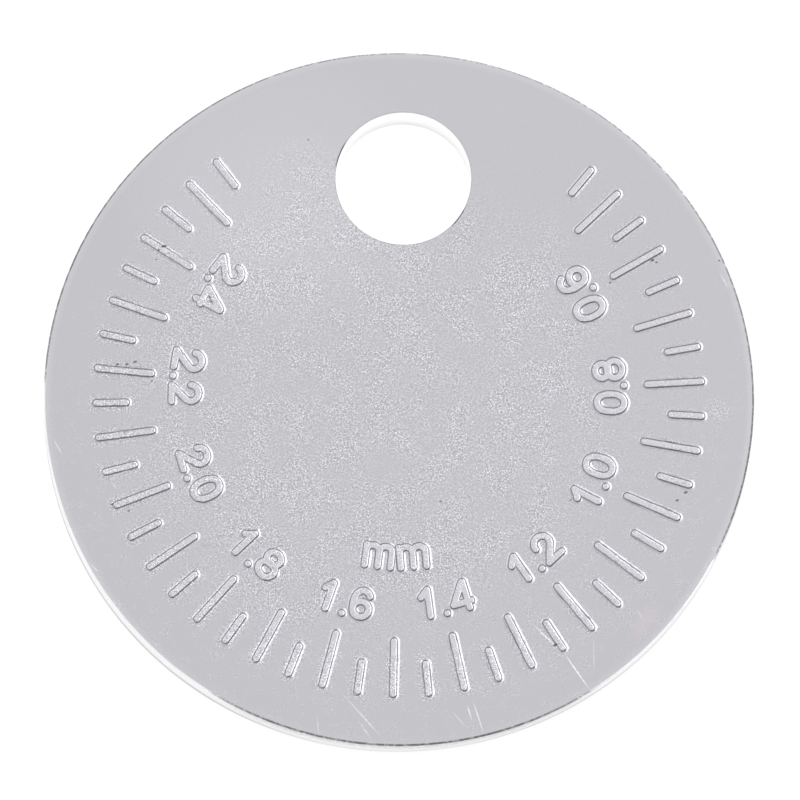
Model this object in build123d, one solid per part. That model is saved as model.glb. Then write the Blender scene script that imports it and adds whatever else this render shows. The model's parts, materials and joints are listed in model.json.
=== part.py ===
from build123d import *
from math import sqrt
import os

# Coin gauge for spark plug gaps: one flat metal disc with a round keyring hole.
# Its rim is a wedge. A ledge cut into the underside climbs as a helix, so the metal left at the
# rim grows evenly thicker as it goes clockwise round the face, from one side of the hole to the
# other. The rim is slid between the electrodes, and the raised mark where it jams gives the gap.
#
# Frame: the origin is the middle of the underside, +Z points out of the marked face, and +Y
# points at the hole. Angles on the dial run clockwise from +Y, as they are read on the face.

# Disc, in millimetres
disc_diameter = 34.0
edge_rounding = 0.18

# Keyring hole
hole_diameter = 6.5
hole_web = 2.95
hole_chamfer = 0.12

# Measuring scale: gaps in millimetres, dial sweep in degrees from the first mark to the last
first_gap = 0.45
last_gap = 2.55
gap_step = 0.05
scale_sweep = 283.5

# Measuring ledge: past each end of the scale it carries on for this much rim thickness
ledge_width = 2.3
ledge_corner_chamfer = 0.2
ledge_rim_chamfer = 0.12
run_out = 0.05

# Raised marks: every second one is long
short_mark_length = 1.85
long_mark_length = 3.0
mark_width = 0.42
mark_height = 0.12
mark_draft = 35.0

# Worked out from the sizes above
disc_radius = disc_diameter / 2
core_radius = disc_radius - ledge_width
hole_centre = disc_radius - hole_web - hole_diameter / 2
step_count = round((last_gap - first_gap) / gap_step)
degrees_per_mm = scale_sweep / (last_gap - first_gap)
body_thickness = last_gap + run_out
rim_at_start = first_gap - run_out
middle_gap = (first_gap + last_gap) / 2


def dial_angle(gap):
    """Dial angle, clockwise from the hole, where the rim is as thick as the gap."""
    return 180 + (gap - middle_gap) * degrees_per_mm


def plain_disc():
    """Full-thickness disc with its two outer edges rounded."""
    disc = extrude(Circle(disc_radius), amount=body_thickness)
    return fillet(disc.edges().filter_by(GeomType.CIRCLE), edge_rounding)


def ledge_section():
    """Section of the space under the rim: the ledge on top, the core's wall on the left."""
    outside = disc_radius + ledge_width / 2
    rim_corner = disc_radius - ledge_rim_chamfer
    outline = Polyline(
        (core_radius, -body_thickness),
        (core_radius, -ledge_corner_chamfer),
        (core_radius + ledge_corner_chamfer, 0),
        (rim_corner, 0),
        (outside, outside - rim_corner),
        (outside, -body_thickness),
        close=True,
    )
    return Plane.XZ * make_face(outline)


def ledge_cutter():
    """The section, wound up a helix that starts just below the underside to cut it cleanly."""
    start_gap = body_thickness + run_out
    climb = start_gap - rim_at_start
    path = Helix(pitch=360 / degrees_per_mm, height=climb, radius=core_radius)
    cutter = sweep(ledge_section(), path=path, is_frenet=True)
    return Pos(0, 0, body_thickness - start_gap) * Rot(0, 0, 90 - dial_angle(start_gap)) * cutter


def raised_mark(length):
    """One mark, along +Y from the ledge inwards: a ridge with sloping sides and eight-sided ends."""
    end_clip = mark_width / (2 + sqrt(2))
    outline = chamfer(Rectangle(mark_width, length).vertices(), end_clip)
    ridge = extrude(outline, amount=mark_height, taper=mark_draft)
    return Pos(0, core_radius - length / 2, body_thickness) * ridge


def scale_marks():
    """Marks of the whole scale, a short one for every odd step and a long one between."""
    short_mark = raised_mark(short_mark_length)
    long_mark = raised_mark(long_mark_length)
    marks = []
    for step in range(step_count + 1):
        angle = dial_angle(first_gap + step * gap_step)
        mark = long_mark if step % 2 else short_mark
        marks.append(Rot(0, 0, -angle) * mark)
    return marks


def keyring_hole(gauge):
    """Bore the hole right through and break its edge on both faces."""
    bore = Cylinder(hole_diameter / 2, body_thickness, align=(Align.CENTER, Align.CENTER, Align.MIN))
    gauge -= Pos(0, hole_centre) * bore
    mouths = gauge.edges().filter_by(GeomType.CIRCLE).filter_by(
        lambda edge: abs(edge.radius - hole_diameter / 2) < 1e-6
    )
    return chamfer(mouths, hole_chamfer)


gauge_disc = plain_disc() - ledge_cutter()
gauge_disc += scale_marks()
gauge_disc = keyring_hole(gauge_disc)

os.makedirs("parts", exist_ok=True)
export_step(gauge_disc, "parts/gauge_disc.step")

print(f"rim {rim_at_start:.2f} to {body_thickness:.2f} mm thick, {step_count + 1} marks")
print(f"volume {gauge_disc.volume:.1f} mm3, solids {len(gauge_disc.solids())}")
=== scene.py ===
"""Coin gauge for spark plug gaps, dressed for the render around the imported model.

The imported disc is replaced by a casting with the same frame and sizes: a turned blank, a ledge
wound up a helix under its rim, a keyring hole, raised marks and raised figures, all united into
one mesh. Lengths are in metres, and MM is one millimetre. Dial angles run clockwise from +Y,
seen from above, as the face is read.
"""

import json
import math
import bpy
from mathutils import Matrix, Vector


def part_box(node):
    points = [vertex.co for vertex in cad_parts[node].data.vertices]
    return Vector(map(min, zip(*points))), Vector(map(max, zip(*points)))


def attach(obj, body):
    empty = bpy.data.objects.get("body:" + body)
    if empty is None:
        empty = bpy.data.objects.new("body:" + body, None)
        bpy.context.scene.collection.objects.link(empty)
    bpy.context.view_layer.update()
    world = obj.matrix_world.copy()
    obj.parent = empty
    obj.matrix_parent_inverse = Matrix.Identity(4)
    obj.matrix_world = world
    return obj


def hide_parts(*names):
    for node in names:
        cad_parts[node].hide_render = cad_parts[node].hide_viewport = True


bl_info = {
    "name": "Spark plug gap gauge",
    "version": (1, 0, 0),
    "blender": (4, 5, 0),
    "location": "3D View > Sidebar > Gap gauge",
    "description": "A coin gauge for spark plug gaps, with its plated finish and a studio stage",
    "category": "Add Mesh",
}

from functools import partial, reduce
from types import SimpleNamespace

import bpy
from bpy.props import FloatProperty, IntProperty, PointerProperty, StringProperty
from mathutils import Matrix, Vector

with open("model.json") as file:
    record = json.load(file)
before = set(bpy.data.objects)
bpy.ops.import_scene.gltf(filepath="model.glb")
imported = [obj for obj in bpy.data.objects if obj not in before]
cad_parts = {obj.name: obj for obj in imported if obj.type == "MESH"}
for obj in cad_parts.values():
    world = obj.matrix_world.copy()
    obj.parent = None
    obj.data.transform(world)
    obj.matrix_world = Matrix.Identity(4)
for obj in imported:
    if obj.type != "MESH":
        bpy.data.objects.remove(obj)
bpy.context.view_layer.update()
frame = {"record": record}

MM = 0.001
NODE = "gauge_disc"
BODY = "root"
THICKNESS = 2.6 * MM
LOWEST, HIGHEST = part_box(NODE)
HOLE = next(m for m in frame["record"]["mounts"] if m["name"] == "keyring_hole")


# Small helpers

def length(name, description, default):
    """A size that a user can change, in metres."""
    return FloatProperty(
        name=name, description=description, default=default, unit="LENGTH", precision=5)


def hex_setting(name, description, default):
    """A colour that a user can change, as an sRGB hex code."""
    return StringProperty(name=name, description=description, default=default)


def hex_colour(code):
    """An sRGB hex colour as linear RGBA."""
    channels = [int(code[i:i + 2], 16) / 255 for i in (1, 3, 5)]
    return [c / 12.92 if c <= 0.04045 else ((c + 0.055) / 1.055) ** 2.4 for c in channels] + [1.0]


def focus_nothing():
    """Leave edit mode and deselect everything, before a primitive is added."""
    if bpy.context.object and bpy.context.object.mode != "OBJECT":
        bpy.ops.object.mode_set(mode="OBJECT")
    bpy.ops.object.select_all(action="DESELECT")


def focus(piece):
    """Leave edit mode, select this piece alone and make it active."""
    focus_nothing()
    piece.select_set(True)
    bpy.context.view_layer.objects.active = piece


def named(name):
    """Give the piece that was just added its name."""
    piece = bpy.context.object
    piece.name = name
    piece.data.name = name
    return piece


def add_modifier(piece, kind, **settings):
    """Put a modifier on the piece and apply it."""
    modifier = piece.modifiers.new(kind.title(), kind)
    for name, value in settings.items():
        setattr(modifier, name, value)
    focus(piece)
    bpy.ops.object.modifier_apply(modifier=modifier.name)


def boolean(piece, tool, operation):
    """Cut the tool from the piece, or unite them, and remove the tool."""
    add_modifier(piece, "BOOLEAN", object=tool, operation=operation, solver="MANIFOLD")
    bpy.data.objects.remove(tool)


def select_by(piece, domain, test):
    """In edit mode, select only the vertices, edges or faces that pass the test."""
    bpy.ops.mesh.select_mode(type={"vertices": "VERT", "edges": "EDGE", "polygons": "FACE"}[domain])
    bpy.ops.mesh.select_all(action="DESELECT")
    bpy.ops.object.mode_set(mode="OBJECT")
    for item in getattr(piece.data, domain):
        item.select = bool(test(item))
    bpy.ops.object.mode_set(mode="EDIT")


def dial_angle(gap, ledge):
    """Dial angle, in degrees, where the rim is as thick as the gap."""
    return 180 + (gap - ledge.middle_gap) / MM * ledge.degrees_per_mm


def turn_to(dial):
    """Turns what stands at the foot of the dial, at 180 degrees, round to a dial angle."""
    return Matrix.Rotation(math.radians(180 - dial), 4, "Z")


def fix_order(piece):
    """Put the faces in one fixed order, so that every run gives the same mesh.

    Extruding shuffles them, and thinning and boolean cuts would then differ a little each time.
    """
    mesh = piece.data
    points = [v.co.copy() for v in mesh.vertices]
    faces = []
    for polygon in mesh.polygons:
        corners = list(polygon.vertices)
        first = corners.index(min(corners))
        faces.append(corners[first:] + corners[:first])
    mesh.clear_geometry()
    mesh.from_pydata(points, [], sorted(faces))


def placed(model, name, matrix):
    """A copy of the model, with its own mesh and its place in that mesh."""
    copy = bpy.data.objects.new(name, model.data.copy())
    copy.data.transform(matrix)
    bpy.context.collection.objects.link(copy)
    return copy


def join(pieces, name):
    """Make one object of all the pieces, and name it."""
    focus(pieces[0])
    for piece in pieces:
        piece.select_set(True)
    bpy.ops.object.join()
    named(name)


# Sizes and colours that a user may change

class BlankSizes(bpy.types.PropertyGroup):
    radius: length("Radius", "Radius of the disc", (HIGHEST.x - LOWEST.x) / 2)
    thickness: length("Thickness", "From the underside to the marked face", THICKNESS)
    edge_rounding: length("Edge rounding", "Radius that the outer edges are rounded to", 0.06 * MM)
    rim_flutter: length("Rim flutter", "How far the cast rim wanders from a true circle", 0.02 * MM)
    hole_radius: length("Hole radius", "Radius of the keyring hole", HOLE["dims"]["r_mm"] * MM)
    hole_centre: length("Hole centre", "From the disc's middle to the hole's middle", HOLE["pos_m"][1])
    hole_rounding: length("Hole rounding", "Radius that the hole's edges are rounded to", 0.02 * MM)


class LedgeSizes(bpy.types.PropertyGroup):
    width: length("Width", "Width of the ledge under the rim", 2.3 * MM)
    rim_chamfer: length("Rim chamfer", "Chamfer on the rim's lower edge", 0.12 * MM)
    corner_rounding: length("Corner rounding", "Rounding where the ledge meets the core", 0.3 * MM)
    thinnest: length("Thinnest rim", "Rim thickness where the ledge is highest", 0.4 * MM)
    degrees_per_mm: FloatProperty(
        name="Degrees per millimetre", description="Dial angle for one millimetre of gap",
        default=135.0)
    middle_gap: length("Middle gap", "Gap that is read at the foot of the dial", 1.5 * MM)


class MarkSizes(bpy.types.PropertyGroup):
    first_gap: length("First gap", "Gap that the first mark stands for", 0.45 * MM)
    gap_step: length("Gap step", "Gap from one mark to the next", 0.05 * MM)
    count: IntProperty(name="Marks", description="Number of marks on the scale", default=43, min=2)
    short_length: length("Short length", "Length of a short mark", 1.85 * MM)
    long_length: length("Long length", "Length of a long mark, every second one", 3.0 * MM)
    outer_radius: length("Outer radius", "Where the marks' outer ends stand", 14.7 * MM)
    width: length("Width", "Width of a mark or a stroke at half its height", 0.42 * MM)
    height: length("Height", "Height of the marks and strokes over the face", HIGHEST.z - THICKNESS)
    unevenness: length("Unevenness", "How far the cast walls wander sideways", 0.04 * MM)
    uneven_wave: length("Uneven wave", "Length of one wave of a wandering wall", 0.3 * MM)


class FigureSizes(bpy.types.PropertyGroup):
    base_radius: length("Base radius", "Radius of the figures' base line", 10.78 * MM)
    outer_shift: length("Outer shift", "How much further out the thick half's figures stand", 0.1 * MM)
    digit_angle: FloatProperty(
        name="Digit angle", description="Dial angle from the point to the middle of a digit",
        default=math.radians(4.55), subtype="ANGLE", unit="ROTATION")
    unit_radius: length("Unit radius", "Radius of the unit mark's base line", 8.3 * MM)


class PlateLook(bpy.types.PropertyGroup):
    plate: hex_setting("Plate", "Colour of the satin plate", "#BDBCC1")
    # Also the colour of the painted sheen on the face's upper left
    rubbed: hex_setting("Rubbed plate", "Colour of the raised tops", "#CBCACF")
    # Near white: partly polish, partly a painted sheen on the rim, the hole's wall and the ring round
    # the face's edge
    burnished: hex_setting("Burnished rim", "Colour of the rim and of the hole's wall", "#F8F8F9")
    # This colour is also the painted shade on the marks' walls and along the rim's edges
    pit: hex_setting("Pits", "Colour of the small pits and of dirt", "#55524F")
    tint: hex_setting("Tint", "Colour of the faint stains on the plate", "#D3C6CC")
    roughness: FloatProperty(
        name="Roughness", description="Roughness of the satin plate", default=0.3, min=0, max=1,
        subtype="FACTOR")
    grain: length("Grain", "Size of the cast skin's grain", 0.087 * MM)


class StageLook(bpy.types.PropertyGroup):
    floor: hex_setting("Floor", "Colour of the floor", "#FFFFFF")
    overhead: FloatProperty(
        name="Overhead", description="Power of the overhead lamp, in watts", default=4.0, min=0)
    side_panel: FloatProperty(
        name="Side panel", description="Radiance of the right-hand panel", default=2.6, min=0)


# Turned blank

def blank(sizes, steps=720, rings=(0.95, 0.82, 0.7, 0.55, 0.36)):
    """Disc with its two outer edges rounded, and rings in its marked face that keep it flat.

    The rings stand at shares of the disc's radius.
    """
    focus_nothing()
    depth = sizes.thickness
    bpy.ops.mesh.primitive_cylinder_add(
        vertices=steps, radius=sizes.radius, depth=depth, location=(0, 0, depth / 2))
    piece = named("gap_gauge")
    bpy.ops.object.transform_apply(location=True)
    bpy.ops.object.mode_set(mode="EDIT")
    mesh = piece.data

    def on_a_face(edge):
        a, b = (mesh.vertices[i].co for i in edge.vertices)
        return abs(a.z - b.z) < 1e-6
    select_by(piece, "edges", on_a_face)
    bpy.ops.mesh.bevel(offset=sizes.edge_rounding, segments=4, profile=0.5, affect="EDGES")
    select_by(piece, "polygons", lambda p: p.normal.z > 0.9 and p.area > 0.1 * sizes.radius ** 2)
    radius = sizes.radius - sizes.edge_rounding
    for share in rings:
        bpy.ops.mesh.inset(thickness=radius - share * sizes.radius)
        radius = share * sizes.radius
    bpy.ops.object.mode_set(mode="OBJECT")
    flutter(piece, sizes)


def flutter(piece, sizes, wave=0.35 * MM):
    """Cast rims are not true circles: a fine noise moves the rim in and out a little."""
    rim = piece.vertex_groups.new(name="rim")
    wall = sizes.radius - 0.4 * sizes.edge_rounding
    rim.add([v.index for v in piece.data.vertices if v.co.xy.length > wall], 1.0, "REPLACE")
    noise = bpy.data.textures.new("rim flutter", "CLOUDS")
    noise.noise_scale = wave
    noise.noise_depth = 3
    add_modifier(piece, "DISPLACE", texture=noise, texture_coords="LOCAL", vertex_group="rim",
                 strength=sizes.rim_flutter, mid_level=1.0, direction="NORMAL")


# Measuring ledge

def ledge_cutter(blank_sizes, sizes, step=0.5, run_in=7.5):
    """Space under the rim: its section is screwed up a helix, starting just below the underside.

    The helix takes one step for every half degree, and runs in for 7.5 degrees before it cuts.
    """
    core = blank_sizes.radius - sizes.width
    rim_corner = blank_sizes.radius - sizes.rim_chamfer
    depth = blank_sizes.thickness
    focus_nothing()
    bpy.ops.mesh.primitive_plane_add(size=1, rotation=(math.radians(90), 0, 0))
    piece = named("ledge_cutter")
    piece.scale = (rim_corner - core, depth, 1)
    piece.location = ((rim_corner + core) / 2, 0, -depth / 2)
    bpy.ops.object.transform_apply(location=True, rotation=True, scale=True)
    bpy.ops.object.mode_set(mode="EDIT")
    near = 1e-6
    mesh = piece.data

    def at_rim_corner(edge):
        return all(abs(mesh.vertices[i].co.x - rim_corner) < near for i in edge.vertices)
    select_by(piece, "edges", at_rim_corner)
    bpy.ops.mesh.extrude_region_move(TRANSFORM_OT_translate={"value": (sizes.width / 2, 0, 0)})
    select_by(piece, "vertices", lambda v: v.co.x > rim_corner + near and v.co.z > -near)
    bpy.ops.transform.translate(value=(0, 0, sizes.width / 2))
    select_by(piece, "vertices", lambda v: v.co.x < core + near and v.co.z > -near)
    bpy.ops.mesh.bevel(offset=sizes.corner_rounding, segments=5, affect="VERTICES")
    bpy.ops.mesh.select_all(action="SELECT")
    bpy.ops.mesh.delete(type="ONLY_FACE")
    select_by(piece, "edges", at_rim_corner)
    bpy.ops.mesh.delete(type="EDGE")
    bpy.ops.object.mode_set(mode="OBJECT")

    climb_degrees = (depth - sizes.thinnest) / MM * sizes.degrees_per_mm + run_in
    add_modifier(piece, "SCREW", angle=math.radians(climb_degrees), axis="Z",
                 screw_offset=climb_degrees / sizes.degrees_per_mm * MM,
                 steps=round(climb_degrees / step))
    bpy.ops.object.mode_set(mode="EDIT")
    bpy.ops.mesh.select_mode(type="EDGE")
    bpy.ops.mesh.select_all(action="DESELECT")
    bpy.ops.mesh.select_non_manifold()
    bpy.ops.mesh.fill_holes(sides=0)
    bpy.ops.mesh.select_all(action="SELECT")
    bpy.ops.mesh.normals_make_consistent(inside=False)
    bpy.ops.object.mode_set(mode="OBJECT")
    start = math.radians(90 - (dial_angle(depth, sizes) + run_in))
    lift = Matrix.Translation((0, 0, -run_in / sizes.degrees_per_mm * MM))
    piece.data.transform(lift @ Matrix.Rotation(start, 4, "Z"))
    return piece


# Keyring hole

def hole_cutter(sizes, steps=192, rings=2, flare_angle=math.radians(78)):
    """Pin with flared ends, so that the hole it cuts has rounded edges on both faces."""
    rounding = sizes.hole_rounding
    straight = sizes.thickness - 2 * rounding
    middle = Vector((0, sizes.hole_centre, sizes.thickness / 2))
    focus_nothing()
    bpy.ops.mesh.primitive_cylinder_add(
        vertices=steps, radius=sizes.hole_radius, depth=straight, location=middle)
    piece = named("hole_cutter")
    bpy.ops.object.transform_apply(location=True)
    bpy.ops.object.mode_set(mode="EDIT")
    for side in (1, -1):
        radius = sizes.hole_radius
        height = 0.0
        select_by(piece, "polygons", lambda p: p.normal.z * side > 0.9)
        for ring in range(1, rings + 1):
            angle = flare_angle * ring / rings
            new_radius = sizes.hole_radius + rounding * (1 - math.cos(angle))
            new_height = rounding * math.sin(angle)
            bpy.ops.mesh.extrude_region_move(
                TRANSFORM_OT_translate={"value": (0, 0, side * (new_height - height))})
            grow = new_radius / radius
            bpy.ops.transform.resize(value=(grow, grow, 1), center_override=middle)
            radius = new_radius
            height = new_height
        grow = 1 + 0.5 * rounding / radius
        bpy.ops.mesh.extrude_region_move(
            TRANSFORM_OT_translate={"value": (0, 0, side * 0.5 * rounding / math.tan(flare_angle))})
        bpy.ops.transform.resize(value=(grow, grow, 1), center_override=middle)
    bpy.ops.object.mode_set(mode="OBJECT")
    fix_order(piece)
    return piece


# Raised strokes: marks and figures share one section

# Section of a stroke: distance from its centre line in millimetres, and share of its height there.
# The top is slightly crowned, the wall is steep and its foot runs out in a small fillet.
STROKE_SECTION = [
    (0.00, 1.00), (0.10, 0.99), (0.125, 0.96), (0.142, 0.89), (0.157, 0.72), (0.172, 0.50),
    (0.187, 0.34), (0.205, 0.24), (0.23, 0.15), (0.26, 0.075), (0.29, 0.025), (0.32, 0.00),
]
STROKE_REACH = STROKE_SECTION[-1][0] * MM

# How deep the relief is set into the disc, so that the two unite cleanly
SINK = 0.002 * MM


def centre_line(name, chains):
    """Wire of the centre lines that a stroke follows, from chains of points in millimetres."""
    points = [Vector((x, y, 0)) * MM for chain in chains for x, y in chain]
    edges = []
    first = 0
    for chain in chains:
        edges += [(i, i + 1) for i in range(first, first + len(chain) - 1)]
        first += len(chain)
    mesh = bpy.data.meshes.new(name)
    mesh.from_pydata(points, edges, [])
    wire = bpy.data.objects.new(name, mesh)
    bpy.context.collection.objects.link(wire)
    return wire


def raised(name, chains, height, cell=(0.022, 0.022), keep=1.0, root=0.25 * MM):
    """Raise a stroke of the common section along the centre lines, as a closed block.

    A fine grid, its cells in millimetres, is lifted by its distance to the wire. Its flat rest is
    deleted, the lifted sheet is extruded down to a flat bottom at the root, which the disc will
    swallow, and the share of its faces to keep is what thinning leaves.
    """
    wire = centre_line(name + "_line", chains)
    xs = [v.co.x for v in wire.data.vertices]
    ys = [v.co.y for v in wire.data.vertices]
    margin = STROKE_REACH + 2 * max(cell) * MM
    wide = max(xs) - min(xs) + 2 * margin
    tall = max(ys) - min(ys) + 2 * margin
    focus_nothing()
    bpy.ops.mesh.primitive_grid_add(
        x_subdivisions=math.ceil(wide / MM / cell[0]), y_subdivisions=math.ceil(tall / MM / cell[1]),
        size=1, location=((max(xs) + min(xs)) / 2, (max(ys) + min(ys)) / 2, 0))
    piece = named(name)
    piece.scale = (wide, tall, 1)
    bpy.ops.object.transform_apply(location=True, scale=True)
    lift = piece.vertex_groups.new(name="lift")
    lift.add(range(len(piece.data.vertices)), 1.0, "REPLACE")

    near = piece.modifiers.new("Near", "VERTEX_WEIGHT_PROXIMITY")
    near.vertex_group = "lift"
    near.target = wire
    near.proximity_mode = "GEOMETRY"
    near.proximity_geometry = {"EDGE"}
    near.min_dist = 0
    near.max_dist = STROKE_REACH
    near.falloff_type = "CURVE"
    curve = near.map_curve.curves[0]
    curve.points[0].location = (0, 1)
    curve.points[-1].location = (1, 0)
    for distance, share in STROKE_SECTION[1:-1]:
        point = curve.points.new(distance * MM / STROKE_REACH, share)
        point.handle_type = "VECTOR"
    near.map_curve.update()
    focus(piece)
    bpy.ops.object.modifier_apply(modifier="Near")
    add_modifier(piece, "DISPLACE", vertex_group="lift", strength=height, mid_level=0, direction="Z")
    bpy.data.objects.remove(wire)

    mesh = piece.data
    bpy.ops.object.mode_set(mode="EDIT")

    def flat_rest(polygon):
        return max(mesh.vertices[i].co.z for i in polygon.vertices) < 0.3 * SINK
    select_by(piece, "polygons", flat_rest)
    bpy.ops.mesh.delete(type="FACE")
    bpy.ops.mesh.select_all(action="SELECT")
    bpy.ops.mesh.extrude_region_move(TRANSFORM_OT_translate={"value": (0, 0, -root)})
    bpy.ops.transform.resize(value=(1, 1, 0), center_override=(0, 0, -root))
    bpy.ops.mesh.select_all(action="SELECT")
    bpy.ops.mesh.normals_make_consistent(inside=False)
    bpy.ops.object.mode_set(mode="OBJECT")
    fix_order(piece)
    if keep < 1:
        add_modifier(piece, "DECIMATE", decimate_type="COLLAPSE", ratio=keep)
    return piece


def arc(cx, cy, rx, ry, start, end, steps=16):
    """Points of an elliptical arc, in millimetres, from one angle in degrees to another."""
    angles = [math.radians(start + (end - start) * i / steps) for i in range(steps + 1)]
    return [(cx + rx * math.cos(a), cy + ry * math.sin(a)) for a in angles]


def squared_oval(cx, cy, rx, ry, power=2.3, steps=40):
    """Points of an oval with slightly squared shoulders."""
    points = []
    for i in range(steps + 1):
        a = 2 * math.pi * i / steps
        c, s = math.cos(a), math.sin(a)
        points.append((cx + rx * math.copysign(abs(c) ** (2 / power), c),
                       cy + ry * math.copysign(abs(s) ** (2 / power), s)))
    return points


def figures():
    """Centre lines of the plain figures, in millimetres: base line at y = 0, middle at x = 0."""
    return {
        "0": [squared_oval(0, 0.65, 0.425, 0.65)],
        "1": [[(-0.28, 0.96), (0.05, 1.3), (0.05, 0)]],
        "2": [arc(-0.02, 0.92, 0.395, 0.37, 180, -38) + [(-0.40, 0), (0.41, 0)]],
        "4": [[(0.27, 0), (0.27, 1.3), (0.22, 1.3), (-0.44, 0.31), (0.43, 0.31)]],
        "6": [arc(0.02, 0.66, 0.42, 0.64, 38, 180) + arc(0, 0.38, 0.39, 0.38, 180, 540, 28)],
        "8": [arc(0, 0.37, 0.42, 0.37, 90, 450, 28), arc(0, 0.98, 0.35, 0.32, 90, 450, 24)],
        ".": [[(0, 0), (0.01, 0)]],
        "m": [[(-0.62, 0), (-0.62, 1.0)], arc(-0.31, 0.69, 0.31, 0.31, 180, 0) + [(0, 0)],
              arc(0.31, 0.69, 0.31, 0.31, 180, 0) + [(0.62, 0)]],
    }


def scale_marks(sizes, ledge):
    """Every mark of the scale, a short one for each odd step and a long one between."""
    half = sizes.width / 2
    models = []
    for name, long in (("short_mark", sizes.short_length), ("long_mark", sizes.long_length)):
        near_end = (sizes.outer_radius - half) / MM
        far_end = (sizes.outer_radius - long + half) / MM
        line = [(0, -near_end), (0, -far_end)]
        models.append(raised(name, [line], sizes.height, cell=(0.02, 0.04), keep=0.24))
    marks = []
    for step in range(sizes.count):
        dial = dial_angle(sizes.first_gap + step * sizes.gap_step, ledge)
        marks.append(placed(models[step % 2], f"mark_{step}", turn_to(dial)))
    for model in models:
        bpy.data.objects.remove(model)
    join(marks, "scale_marks")


def scale_figures(sizes, marks, ledge, unit_angle=6):
    """The gap beside every fourth mark, and the unit, with their feet away from the disc's middle.

    The points and one letter of the unit are joined apart from the digits, so that no two
    strokes overlap within one object.
    """
    models = {key: raised("figure_" + key, lines, marks.height, keep=1.0 if key == "." else 0.22)
              for key, lines in figures().items()}
    digits = []
    between = []
    digit = math.degrees(sizes.digit_angle)
    for tenths in range(6, 25, 2):
        gap = tenths / 10 * MM
        dial = dial_angle(gap, ledge)
        whole, rest = divmod(tenths, 10)
        radius = sizes.base_radius + (sizes.outer_shift if gap > ledge.middle_gap else 0)
        seat = Matrix.Translation((0, -radius, 0))
        digits.append(placed(models[str(whole)], "digit", turn_to(dial + digit) @ seat))
        digits.append(placed(models[str(rest)], "digit", turn_to(dial - digit) @ seat))
        between.append(placed(models["."], "point", turn_to(dial) @ seat))
    seat = Matrix.Translation((0, -sizes.unit_radius, 0))
    digits.append(placed(models["m"], "unit", turn_to(180 + unit_angle) @ seat))
    between.append(placed(models["m"], "unit", turn_to(180 - unit_angle) @ seat))
    for model in models.values():
        bpy.data.objects.remove(model)
    join(digits, "scale_digits")
    join(between, "scale_points")


# Operators

class GAUGE_OT_blank(bpy.types.Operator):
    """Turn the blank: a flat disc with rounded edges"""
    bl_idname = "gauge.blank"
    bl_label = "Blank"

    def execute(self, context):
        blank(context.scene.gauge_blank)
        return {"FINISHED"}


class GAUGE_OT_ledge(bpy.types.Operator):
    """Cut the helical measuring ledge under the rim"""
    bl_idname = "gauge.ledge"
    bl_label = "Measuring ledge"

    def execute(self, context):
        scene = context.scene
        disc = bpy.data.objects["gap_gauge"]
        boolean(disc, ledge_cutter(scene.gauge_blank, scene.gauge_ledge), "DIFFERENCE")
        return {"FINISHED"}


class GAUGE_OT_hole(bpy.types.Operator):
    """Cut the keyring hole"""
    bl_idname = "gauge.hole"
    bl_label = "Keyring hole"

    def execute(self, context):
        disc = bpy.data.objects["gap_gauge"]
        boolean(disc, hole_cutter(context.scene.gauge_blank), "DIFFERENCE")
        return {"FINISHED"}


class GAUGE_OT_marks(bpy.types.Operator):
    """Model the marks of the scale"""
    bl_idname = "gauge.marks"
    bl_label = "Scale marks"

    def execute(self, context):
        scene = context.scene
        scale_marks(scene.gauge_marks, scene.gauge_ledge)
        return {"FINISHED"}


class GAUGE_OT_figures(bpy.types.Operator):
    """Model the figures of the scale and its unit"""
    bl_idname = "gauge.figures"
    bl_label = "Scale figures"

    def execute(self, context):
        scene = context.scene
        scale_figures(scene.gauge_figures, scene.gauge_marks, scene.gauge_ledge)
        return {"FINISHED"}


class GAUGE_OT_cast(bpy.types.Operator):
    """Unite the marks and figures with the disc as one casting, with slightly uneven walls"""
    bl_idname = "gauge.cast"
    bl_label = "One casting"

    def execute(self, context):
        sizes = context.scene.gauge_marks
        lift = Matrix.Translation((0, 0, context.scene.gauge_blank.thickness - SINK))
        uneven = bpy.data.textures.new("uneven casting", "CLOUDS")
        uneven.noise_scale = sizes.uneven_wave
        for name in ("scale_marks", "scale_digits", "scale_points"):
            relief = bpy.data.objects[name]
            relief.data.transform(lift)
            for axis in "XY":
                add_modifier(relief, "DISPLACE", texture=uneven, texture_coords="LOCAL",
                             direction=axis, strength=sizes.unevenness, mid_level=0.5)
            boolean(bpy.data.objects["gap_gauge"], relief, "UNION")
        return {"FINISHED"}


class GAUGE_OT_finish(bpy.types.Operator):
    """Smooth the casting, plate it and put it in the frame"""
    bl_idname = "gauge.finish"
    bl_label = "Plated finish"

    def execute(self, context):
        scene = context.scene
        disc = bpy.data.objects["gap_gauge"]
        smooth(disc, scene.gauge_blank)
        disc.data.materials.clear()
        disc.data.materials.append(satin_nickel(
            scene.gauge_plate, scene.gauge_blank, scene.gauge_marks, scene.gauge_ledge))
        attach(disc, BODY)
        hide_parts(NODE)
        return {"FINISHED"}


class GAUGE_OT_stage(bpy.types.Operator):
    """Set up the white floor, the backdrop, the lamp, the cards and the camera"""
    bl_idname = "gauge.stage"
    bl_label = "Studio stage"

    def execute(self, context):
        look = context.scene.gauge_stage
        floor(look)
        studio_world()
        overhead_lamp(look)
        cards(look)
        camera()
        return {"FINISHED"}


class GAUGE_PT_panel(bpy.types.Panel):
    """Steps that build the gauge"""
    bl_idname = "GAUGE_PT_panel"
    bl_label = "Gap gauge"
    bl_space_type = "VIEW_3D"
    bl_region_type = "UI"
    bl_category = "Gap gauge"

    def draw(self, context):
        for step in STEPS:
            self.layout.operator(step.bl_idname)
        for group in GROUPS:
            settings = getattr(context.scene, group)
            box = self.layout.box()
            for name in settings.__annotations__:
                box.prop(settings, name)


# Finish

# An angle sharper than this between two faces is a crease, away from the relief
CREASE = math.radians(42)


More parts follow.
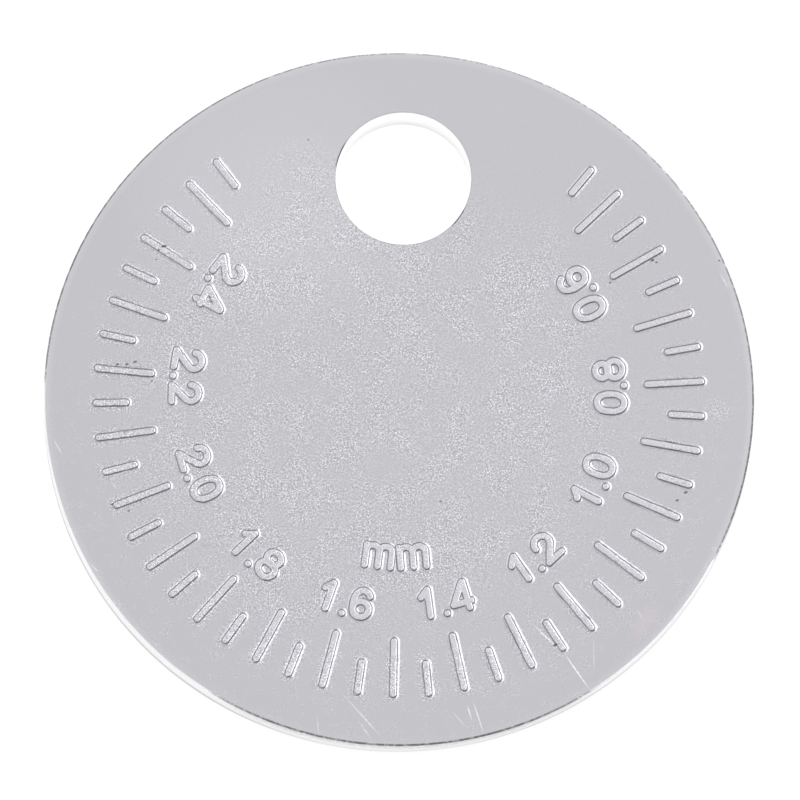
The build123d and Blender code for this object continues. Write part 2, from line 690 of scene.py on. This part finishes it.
def smooth(disc, sizes):
    """Shade smooth, with creases round the flat marked face and at the casting's sharp corners."""
    focus(disc)
    bpy.ops.object.shade_smooth()
    mesh = disc.data
    level = [abs(v.co.z - sizes.thickness) < 0.1 * SINK for v in mesh.vertices]
    flat = [all(level[i] for i in p.vertices) for p in mesh.polygons]
    mesh.polygons.foreach_set("use_smooth", [not f for f in flat])
    beside = {}
    for polygon in mesh.polygons:
        for key in polygon.edge_keys:
            beside.setdefault(key, []).append(polygon.index)
    for edge in mesh.edges:
        faces = beside.get(edge.key, [])
        if len(faces) != 2:
            continue
        a, b = faces
        if flat[a] != flat[b]:
            edge.use_edge_sharp = True
        elif min(mesh.polygons[a].center.z, mesh.polygons[b].center.z) < sizes.thickness - SINK:
            turn = mesh.polygons[a].normal.angle(mesh.polygons[b].normal, 0)
            edge.use_edge_sharp = turn > CREASE


# Material

def add_node(tree, kind, inputs=(), out=0, **settings):
    """Add a node with its settings, give its inputs values or links, and return one output.

    The inputs come in the sockets' order, or in a dict by socket name or number.
    """
    node = tree.nodes.new("ShaderNode" + kind)
    for name, value in settings.items():
        setattr(node, name, value)
    for key, value in (inputs.items() if isinstance(inputs, dict) else enumerate(inputs)):
        if isinstance(value, bpy.types.NodeSocket):
            tree.links.new(value, node.inputs[key])
        else:
            node.inputs[key].default_value = value
    return node.outputs[out] if node.outputs else None


def new_material(name):
    """An empty node material, and add_node for its tree."""
    material = bpy.data.materials.new(name)
    material.use_nodes = True
    material.node_tree.nodes.clear()
    return material, partial(add_node, material.node_tree)


def strongest(node, masks):
    """The largest of several masks."""
    return reduce(lambda a, b: node("Math", [a, b], operation="MAXIMUM"), masks)


def product(node, masks):
    """Where all the masks hold."""
    return reduce(lambda a, b: node("Math", [a, b], operation="MULTIPLY"), masks)


def oval(node, place, x, y, long, wide, angle=0.0, soft=1.0):
    """1 inside an oval on the face, fading out over the outer share, soft, of its radius.

    Its middle and its half length and half width are in millimetres, and its turn in degrees.
    """
    inside = node("Mapping", [place, (x, y, 0), (0, 0, math.radians(angle)), (long, wide, 1)],
                  vector_type="TEXTURE")
    distance = node("VectorMath", [inside], out="Value", operation="LENGTH")
    return node("MapRange", [distance, 1 - soft, 1, 1, 0])


def layered(node, base, layers):
    """Lays colours over a base, each where its mask holds. A colour is a hex code or a socket."""
    for mask, colour in layers:
        below, above = (hex_colour(c) if isinstance(c, str) else c for c in (base, colour))
        base = node("Mix", {"Factor": mask, 6: below, 7: above}, out=2, data_type="RGBA")
    return base


# Ovals on the face, as oval() takes them: where the cast skin shows, the smooth spots within it,
# a painted sheen on the upper left, the plate's faint stains, and the darker stretches at the hole's
# edge
FROSTED = [
    (-0.9, 0.0, 13.8, 12.8, 0, 0.3), (-4.8, 9.4, 3.0, 3.6, 0, 0.6),
    (-5.0, -9.0, 5.0, 3.2, 0, 0.6), (15.3, -0.2, 0.9, 0.9),
]
SMOOTH_SPOTS = [
    (-0.4, -3.3, 2.3, 1.4), (10.0, -5.5, 3.0, 2.4), (5.0, 11.0, 3.5, 3.5),
    (-8.5, 0.5, 1.8, 1.6), (0.0, -10.5, 1.2, 1.5), (10.5, 2.0, 2.6, 3.0),
]
PAINTED_SHEEN = (-6.0, 10.0, 9.5, 8.5, 0, 0.7)
STAINS = [(13.55, 4.45, 0.6, 0.3, 15), (12.0, -10.6, 1.2, 0.5, 50)]
DARKER_HOLE_EDGE = [(-3.1, 11.95, 0.9, 0.3, 70, 0.5), (2.75, 8.95, 0.7, 0.3, 50, 0.5)]

# Scratches, as start and end on the face in millimetres, and strength
SCRATCHES = [
    (8.0, -12.1, 9.5, -14.2, 1.0), (6.55, -10.85, 8.1, -12.3, 0.9), (-2.6, -14.3, -0.3, -16.8, 0.55),
    (-1.7, -15.7, -0.9, -16.8, 0.4), (3.8, -14.6, 4.4, -16.4, 0.7), (3.55, -14.9, 3.8, -15.7, 0.9),
    (-3.6, -15.6, -3.5, -16.6, 0.4), (11.5, -10.0, 11.9, -10.6, 0.4), (9.5, -11.4, 9.6, -13.3, 0.3),
    (2.8, -15.2, 3.6, -16.1, 0.35), (-16.5, -2.3, -16.0, -3.2, 0.5), (-13.7, -4.4, -13.3, -4.8, 0.5),
    (-14.7, -8.3, -14.1, -8.9, 0.4), (15.2, 6.6, 15.7, 5.7, 0.5),
]
SCRATCH_HALF_WIDTH = 0.042

# Turning streaks on the rim: how far one goes round it, in radians, and its height in millimetres
STREAK_LENGTH = 1 / 4
STREAK_HEIGHT = 1 / 14

# Small pits in the cast skin: place on the face and half their length, in millimetres
PITS = [
    (-11.4, 7.2, 0.17), (-11.65, 7.0, 0.08), (-11.75, 6.55, 0.06), (-12.66, 1.50, 0.12),
    (-13.5, 1.36, 0.10), (-13.05, 1.37, 0.11), (-11.83, 0.58, 0.07), (-4.6, 12.6, 0.07),
    (-13.6, -5.5, 0.10), (-12.8, -5.8, 0.08), (12.01, 7.05, 0.12), (12.2, 6.95, 0.08),
    (10.0, 5.9, 0.08), (7.7, -11.9, 0.14), (8.3, -4.8, 0.08), (13.4, -4.7, 0.10),
    (13.8, -4.3, 0.12), (2.1, -5.0, 0.08), (15.2, 7.1, 0.07),
]

# Painted shade along the rim's upper edge, a dark line in place of its dark reflection: place round
# the dial, from -180 to 180 as 0 to 1, and strength
PAINTED_CORNER_LINE = [
    (0.000, 0.85), (0.055, 0.85), (0.078, 0.30), (0.092, 0.00), (0.250, 0.00), (0.262, 0.55),
    (0.305, 0.80), (0.360, 0.65), (0.420, 0.45), (0.500, 0.25), (0.650, 0.30), (0.690, 0.60),
    (0.770, 0.85), (0.789, 0.95), (0.812, 0.60), (0.828, 0.00), (0.903, 0.00), (0.909, 0.35),
    (0.942, 0.90),
]


def satin_nickel(look, sizes, marks, ledge):
    """Satin nickel plate on a zinc casting: a pale lilac-grey metal with a soft, wide gleam.

    The face is frosted by the cast skin under the plate, the tops of the marks are a little
    lighter, their walls carry painted shade, and the rim and the hole's wall are polished nearly
    white, partly as a painted sheen for their bright reflection of the white table. A painted
    highlight rings the face's edge, a painted sheen lies on its upper left, and painted shade
    runs along the rim's edges.
    """
    material, node = new_material("satin nickel plate")
    at = casting(node, look, sizes, marks, ledge)
    frosted = frosting(node, at)
    scratched = scratches(node, at)
    # Painted shade: a dark line along the rim's upper edge, and its strength round the dial
    corner_shade, line = dirty_corner(node, at)
    darkening = strongest(node, [pits(node, at), hole_dirt(node, at)])
    colour = layered(node, look.plate, [
        *face_tones(node, at, look), (scratched, look.burnished), *worn_tones(node, at, look, line),
        (corner_shade, layered(node, look.plate, [(line, look.pit)])), (darkening, look.pit)])
    glitter = sparkle(node, at, frosted)
    colour = node("VectorMath", {0: colour, "Scale": glitter}, operation="SCALE")

    height = node("Math", [product(node, [at.grain, frosted]), scratched], operation="SUBTRACT")
    bump = node("Bump", {"Strength": 0.3, "Distance": 0.01 * MM, "Height": height})
    # Where painted shade darkens the rim's edge, the plate is also made less metallic
    bare_metal = node("Math", [1.0, strongest(node, [darkening, corner_shade])], operation="SUBTRACT")
    shader = node("BsdfPrincipled", {
        "Base Color": colour, "Metallic": bare_metal, "Roughness": look.roughness, "Normal": bump})
    node("OutputMaterial", {"Surface": shader})
    return material


def casting(node, look, sizes, marks, ledge):
    """What the masks are made from: places on the casting in millimetres, its parts and noises."""
    at = SimpleNamespace(
        top=sizes.thickness / MM, rim_radius=sizes.radius / MM, hole_radius=sizes.hole_radius / MM,
        mark_height=marks.height / MM, first_gap=marks.first_gap / MM, mark_count=marks.count,
        step=math.radians(marks.gap_step / MM * ledge.degrees_per_mm),
        gap_per_radian=math.degrees(1) / ledge.degrees_per_mm)
    place = node("TexCoord", out="Object")
    in_mm = node("VectorMath", {0: place, "Scale": 1 / MM}, operation="SCALE")
    at.x, at.y, at.z = node("SeparateXYZ", [in_mm]).node.outputs
    at.flat = node("CombineXYZ", [at.x, at.y])
    at.radius = node("VectorMath", [at.flat], out="Value", operation="LENGTH")
    hole_centre = (0, sizes.hole_centre / MM, 0)
    at.from_hole = node("VectorMath", [at.flat, hole_centre], out="Value", operation="DISTANCE")
    at.dial = node("Math", [at.x, at.y], operation="ARCTAN2")
    first_mark = math.radians(dial_angle(marks.first_gap, ledge))
    past_first = node("Math", [at.dial, first_mark], operation="SUBTRACT")
    at.along_scale = node("Math", [past_first, 2 * math.pi], operation="FLOORED_MODULO")

    # Each part's mask fades in over a few hundredths of a millimetre
    at.face = node("MapRange", [at.z, at.top - 0.1, at.top - 0.02])
    at.rim = product(node, [
        node("MapRange", [at.radius, at.rim_radius - 0.09, at.rim_radius - 0.06]),
        node("MapRange", [at.z, at.top + 0.01, at.top - 0.005])])
    hole = node("MapRange", [at.from_hole, at.hole_radius + 0.01, at.hole_radius + 0.03, 1, 0])
    # Rim and hole's wall: polished, and painted near white as a sheen for their bright reflection
    at.worn = strongest(node, [at.rim, hole])
    at.lower_half = node("MapRange", [at.y, -6, 8, 1, 0.25])

    # Size of each noise in millimetres, and its detail
    grain = look.grain / MM
    noises = {"grain": (grain, 1), "fine": (0.6 * grain, 0), "patches": (1.5, 2), "broken": (0.6, 3),
              "crumbs": (0.2, 1)}
    for name, (size, detail) in noises.items():
        setattr(at, name, node("TexNoise", {"Vector": in_mm, "Scale": 1 / size, "Detail": detail}))
    return at


def frosting(node, at):
    """Where the cast skin shows: mostly in the middle, in flecks, and close beside the marks."""
    smooth_spots = strongest(node, [oval(node, at.flat, *row) for row in SMOOTH_SPOTS])
    middle = product(node, [
        strongest(node, [oval(node, at.flat, *row) for row in FROSTED]),
        node("Math", [smooth_spots, -0.85, 1.0], operation="MULTIPLY_ADD"),
        node("MapRange", [at.patches, 0.38, 0.58, 0.4, 1.05])])
    flecks = product(node, [
        node("MapRange", [at.broken, 0.5, 0.68, 0.04, 0.6]),
        node("MapRange", [at.radius, 12, 16.5, 1, 0.5]), at.lower_half])
    turn_from_mark = node("Math", [at.along_scale, at.step / 2], operation="PINGPONG")
    from_mark = product(node, [turn_from_mark, at.radius])
    past_last = [(at.mark_count - 1 + share) * at.step for share in (0.2, 0.3)]
    beside_mark = product(node, [
        at.face, node("MapRange", [from_mark, 0.25, 0.65, 1, 0]),
        node("MapRange", [node("Math", [at.x, at.y], operation="ADD"), -12, 6, 1, 0.45]),
        node("MapRange", [at.radius, 12.2, 12.8]), node("MapRange", [at.radius, 14.7, 15.0, 1, 0]),
        node("MapRange", [at.along_scale, *past_last, 1, 0])])
    unworn = node("Math", [1.0, at.worn], operation="SUBTRACT")
    return product(node, [strongest(node, [middle, flecks, beside_mark]), unworn])


def face_tones(node, at, look):
    """Layers of the plate: paler tops, painted shade on walls, painted highlight at the rim, painted
    sheen, stains.
    """
    raised_share = node("MapRange", [at.z, at.top, at.top + at.mark_height])
    # Painted shade on the marks' walls, from about a quarter to most of their height, broken by the
    # grain
    walls = product(node, [
        node("MapRange", [raised_share, 0.22, 0.34]),
        node("MapRange", [raised_share, 0.7, 0.88, 1, 0]),
        node("MapRange", [at.grain, 0.35, 0.6, 0.05, 0.42])])
    # Painted highlight: a lighter ring along the face's outer edge, weaker towards the bottom
    ring = product(node, [
        at.face, node("MapRange", [at.radius, at.rim_radius - 0.42, at.rim_radius - 0.05, 0, 0.16]),
        node("MapRange", [at.y, -15, -9, 0.3, 1])])
    # Painted sheen: the face painted lighter on its upper left and towards its left side
    lighter = strongest(node, [
        product(node, [oval(node, at.flat, *PAINTED_SHEEN), 0.5]), node("MapRange", [at.x, 0, 12, 0.1, 0])])
    stained = strongest(node, [oval(node, at.flat, *row) for row in STAINS])
    return [
        (node("MapRange", [raised_share, 0.85, 0.96]), look.rubbed), (walls, look.pit),
        (ring, look.burnished), (product(node, [at.face, lighter]), look.rubbed),
        (product(node, [at.face, stained, 0.45]), look.tint)]


def scratches(node, at):
    """Fine scratches on the face, broken up by the grain."""
    masks = []
    for x0, y0, x1, y1, strength in SCRATCHES:
        long = math.hypot(x1 - x0, y1 - y0) / 2
        angle = math.degrees(math.atan2(y1 - y0, x1 - x0))
        middle = ((x0 + x1) / 2, (y0 + y1) / 2)
        line = oval(node, at.flat, *middle, long, SCRATCH_HALF_WIDTH, angle, soft=0.6)
        masks.append(product(node, [line, strength]))
    broken_up = node("MapRange", [at.grain, 0.3, 0.6, 0.35, 1.0])
    return product(node, [at.face, strongest(node, masks), broken_up])


def pits(node, at):
    """Dark pits in the face, a little longer than wide, with ragged edges."""
    masks = [oval(node, at.flat, x, y, size, 0.6 * size, 20, soft=0.45) for x, y, size in PITS]
    ragged = node("MapRange", [at.grain, 0.35, 0.5, 0.5, 1.0])
    return product(node, [at.face, strongest(node, masks), ragged])


def hole_dirt(node, at):
    """Darker on two stretches of the hole's upper edge."""
    return product(node, [
        node("MapRange", [at.from_hole, at.hole_radius + 0.04, at.hole_radius + 0.08, 0.9, 0]),
        node("MapRange", [at.z, at.top - 0.05, at.top - 0.03]),
        strongest(node, [oval(node, at.flat, *row) for row in DARKER_HOLE_EDGE])])


def dirty_corner(node, at):
    """The rim's upper edge with its line of painted shade, and how dark that line is round the dial.
    """
    line = node("ValToRGB", [node("MapRange", [at.dial, -math.pi, math.pi])])
    elements = line.node.color_ramp.elements
    for index, (place, strength) in enumerate(PAINTED_CORNER_LINE):
        element = elements[index] if index < 2 else elements.new(place)
        element.position = place
        element.color = (strength, strength, strength, 1)
    line = product(node, [line, node("MapRange", [at.crumbs, 0.36, 0.52, 0.4, 1.0])])
    # Painted shade: a dark line on the rounding of the rim's upper edge
    corner_shade = product(node, [
        node("MapRange", [at.radius, at.rim_radius - 0.11, at.rim_radius - 0.08]),
        node("MapRange", [at.z, at.top - 0.08, at.top - 0.05]), node("MapRange", [line, 0.02, 0.3])])
    return corner_shade, line


def worn_tones(node, at, look, line):
    """Layers of the rim and hole, polished nearly white and partly a painted sheen: fine turning
    streaks, and painted shade at the rim's upper and lower edges.
    """
    stretched = node("CombineXYZ", [
        product(node, [at.along_scale, 1 / STREAK_LENGTH]), product(node, [at.z, 1 / STREAK_HEIGHT])])
    streaks = node("TexNoise", {"Vector": stretched, "Scale": 1.0, "Detail": 3})
    streaks = product(node, [at.rim, node("MapRange", [streaks, 0.4, 0.7, 0, 0.35])])
    # Painted shade on the rim's wall just below its upper edge, fading downwards
    painted_shade_below_edge = product(node, [
        at.rim, line, node("MapRange", [at.z, at.top - 1.1, at.top - 0.1, 0, 0.5])])
    # Painted shade low on the rim's wall, near its lower edge; thick is the rim's thickness there
    thick = node("Math", [at.along_scale, at.gap_per_radian, at.first_gap], operation="MULTIPLY_ADD")
    below_top = node("Math", [at.z, at.top], operation="SUBTRACT")
    above_edge = node("Math", [below_top, thick], operation="ADD")
    share_up = node("Math", [above_edge, thick], operation="DIVIDE")
    painted_shade_low_on_rim = product(node, [
        at.rim, node("MapRange", [share_up, 0.08, 0.45, 0.6, 0]),
        node("MapRange", [node("Math", [at.x], operation="ABSOLUTE"), 3, 9, 0.35, 1])])
    return [
        (at.worn, layered(node, look.burnished, [(streaks, look.plate)])),
        (strongest(node, [painted_shade_below_edge, painted_shade_low_on_rim]), look.pit)]


def sparkle(node, at, frosted):
    """Factor on the colour: the grain makes the frosted plate glitter, with specks elsewhere."""
    coarse = node("Math", [at.grain, 0.75], operation="SUBTRACT")
    grains = node("Math", [at.fine, 0.5, coarse], operation="MULTIPLY_ADD")
    grains = node("Math", [grains, -0.15], operation="MAXIMUM")
    glints = node("MapRange", [at.fine, 0.62, 0.75, 0, 0.25])
    glitter = product(node, [frosted, node("Math", [grains, glints], operation="ADD")])
    specks = product(node, [
        at.face, node("MapRange", [at.fine, 0.68, 0.76, 0, 0.1]),
        node("MapRange", [at.broken, 0.42, 0.55]), at.lower_half])
    both = node("Math", [glitter, specks], operation="ADD")
    return node("Math", [both, 1.55, 1.0], operation="MULTIPLY_ADD")


# Stage

WHITE = (1.0, 1.0, 1.0, 1.0)


def direction(azimuth, elevation):
    """Unit vector towards a place in the studio: azimuth clockwise from +Y, both in degrees."""
    a, e = math.radians(azimuth), math.radians(elevation)
    return Vector((math.sin(a) * math.cos(e), math.cos(a) * math.cos(e), math.sin(e)))


def seen_straight(node):
    """1 for camera, glossy and transmission rays, and 0 for the rays that only carry light."""
    rays = node("LightPath").node.outputs
    return strongest(node, [rays[f"Is {kind} Ray"] for kind in ("Camera", "Glossy", "Transmission")])


def floor(look, paper_share=0.25, own_light=0.86):
    """White table: most of its white is its own, so it stays white and keeps a faint shadow."""
    focus_nothing()
    bpy.ops.mesh.primitive_plane_add(size=6.0)
    piece = named("studio_floor")
    material, node = new_material("white table")
    white = hex_colour(look.floor)
    paper = node("BsdfDiffuse", {"Color": [paper_share * c for c in white[:3]] + [1.0]})
    glow = node("Emission", {"Color": white, "Strength": own_light})
    plain = node("BsdfDiffuse", {"Color": white})
    table = node("MixShader", [seen_straight(node), plain, node("AddShader", [paper, glow])])
    node("OutputMaterial", {"Surface": table})
    piece.data.materials.append(material)


def studio_world():
    """White backdrop all round, which looks white but lights the scene half as strongly."""
    world = bpy.data.worlds.new("white backdrop")
    world.use_nodes = True
    world.node_tree.nodes.clear()
    node = partial(add_node, world.node_tree)
    strength = node("MapRange", [seen_straight(node), 0.0, 1.0, 0.5, 1.0])
    sky = node("Background", {"Color": WHITE, "Strength": strength})
    node("OutputWorld", {"Surface": sky})
    bpy.context.scene.world = world


def overhead_lamp(look):
    """A wide lamp overhead lights the table. The gauge's metal doesn't mirror it."""
    focus_nothing()
    bpy.ops.object.light_add(type="AREA", location=(0, 0, 0.9))
    lamp = named("overhead_lamp")
    lamp.data.shape = "SQUARE"
    lamp.data.size = 0.8
    lamp.data.energy = look.overhead
    lamp.visible_camera = False
    lamp.visible_glossy = False


def card(name, azimuths, elevations, radiance, radius=0.5):
    """Curved card round the gauge, seen by its metal alone: such cards draw the edges of metal."""
    focus_nothing()
    bpy.ops.mesh.primitive_uv_sphere_add(segments=90, ring_count=60, radius=radius)
    piece = named(name)
    bpy.ops.object.mode_set(mode="EDIT")
    low, high = elevations
    first, last = azimuths

    def outside(polygon):
        where = polygon.center.normalized()
        elevation = math.degrees(math.asin(where.z))
        azimuth = math.degrees(math.atan2(where.x, where.y))
        return not (low < elevation < high and (azimuth - first) % 360 < last - first)
    select_by(piece, "polygons", outside)
    bpy.ops.mesh.delete(type="FACE")
    bpy.ops.object.mode_set(mode="OBJECT")
    material, node = new_material(name)
    node("OutputMaterial", {"Surface": node("Emission", {"Color": WHITE, "Strength": radiance})})
    piece.data.materials.append(material)
    for ray in ("camera", "diffuse", "transmission", "shadow"):
        setattr(piece, "visible_" + ray, False)


def cards(look):
    """Bright panels on the right and at the back left, and darker cards low all round."""
    card("right_panel", azimuths=(22, 106), elevations=(22, 66), radiance=look.side_panel)
    card("back_left_panel", azimuths=(290, 332), elevations=(24, 60), radiance=1.7)
    card("front_card", azimuths=(106, 204), elevations=(0, 26), radiance=0.3)
    card("left_card", azimuths=(204, 292), elevations=(0, 20), radiance=0.8)
    card("low_card", azimuths=(292, 466), elevations=(0, 18), radiance=0.55)


def camera(azimuth=182.0, elevation=77.34, distance=1.2, roll=3.21, lens=1128.8, aim=(0.052, -0.083)):
    """Long lens from nearly overhead, aimed a hair beside the middle of the face."""
    towards = direction(azimuth, elevation)
    face = Vector((aim[0] * MM, aim[1] * MM, THICKNESS))
    data = bpy.data.cameras.new("camera")
    data.sensor_width = 36.0
    data.lens = lens
    data.clip_start = 0.1
    data.clip_end = 10.0
    piece = bpy.data.objects.new("camera", data)
    turn = towards.to_track_quat("Z", "Y").to_matrix().to_4x4()
    piece.matrix_world = (Matrix.Translation(face + towards * distance) @ turn
                          @ Matrix.Rotation(math.radians(roll), 4, "Z"))
    bpy.context.collection.objects.link(piece)
    bpy.context.scene.camera = piece
    bpy.context.scene.view_settings.view_transform = "Standard"


# Registration

GROUPS = {
    "gauge_blank": BlankSizes, "gauge_ledge": LedgeSizes, "gauge_marks": MarkSizes,
    "gauge_figures": FigureSizes, "gauge_plate": PlateLook, "gauge_stage": StageLook,
}
STEPS = [
    GAUGE_OT_blank, GAUGE_OT_ledge, GAUGE_OT_hole, GAUGE_OT_marks, GAUGE_OT_figures, GAUGE_OT_cast,
    GAUGE_OT_finish, GAUGE_OT_stage,
]


def register():
    """Register the classes, and give every scene its groups of settings."""
    for kind in [*GROUPS.values(), *STEPS, GAUGE_PT_panel]:
        bpy.utils.register_class(kind)
    for name, kind in GROUPS.items():
        setattr(bpy.types.Scene, name, PointerProperty(type=kind))


def unregister():
    """Take back what register() did."""
    for name in GROUPS:
        delattr(bpy.types.Scene, name)
    for kind in reversed([*GROUPS.values(), *STEPS, GAUGE_PT_panel]):
        bpy.utils.unregister_class(kind)


def main():
    """Build the gauge and its stage."""
    register()
    bpy.ops.gauge.blank()
    bpy.ops.gauge.ledge()
    bpy.ops.gauge.hole()
    bpy.ops.gauge.marks()
    bpy.ops.gauge.figures()
    bpy.ops.gauge.cast()
    bpy.ops.gauge.finish()
    bpy.ops.gauge.stage()


if __name__ == "__main__":
    main()
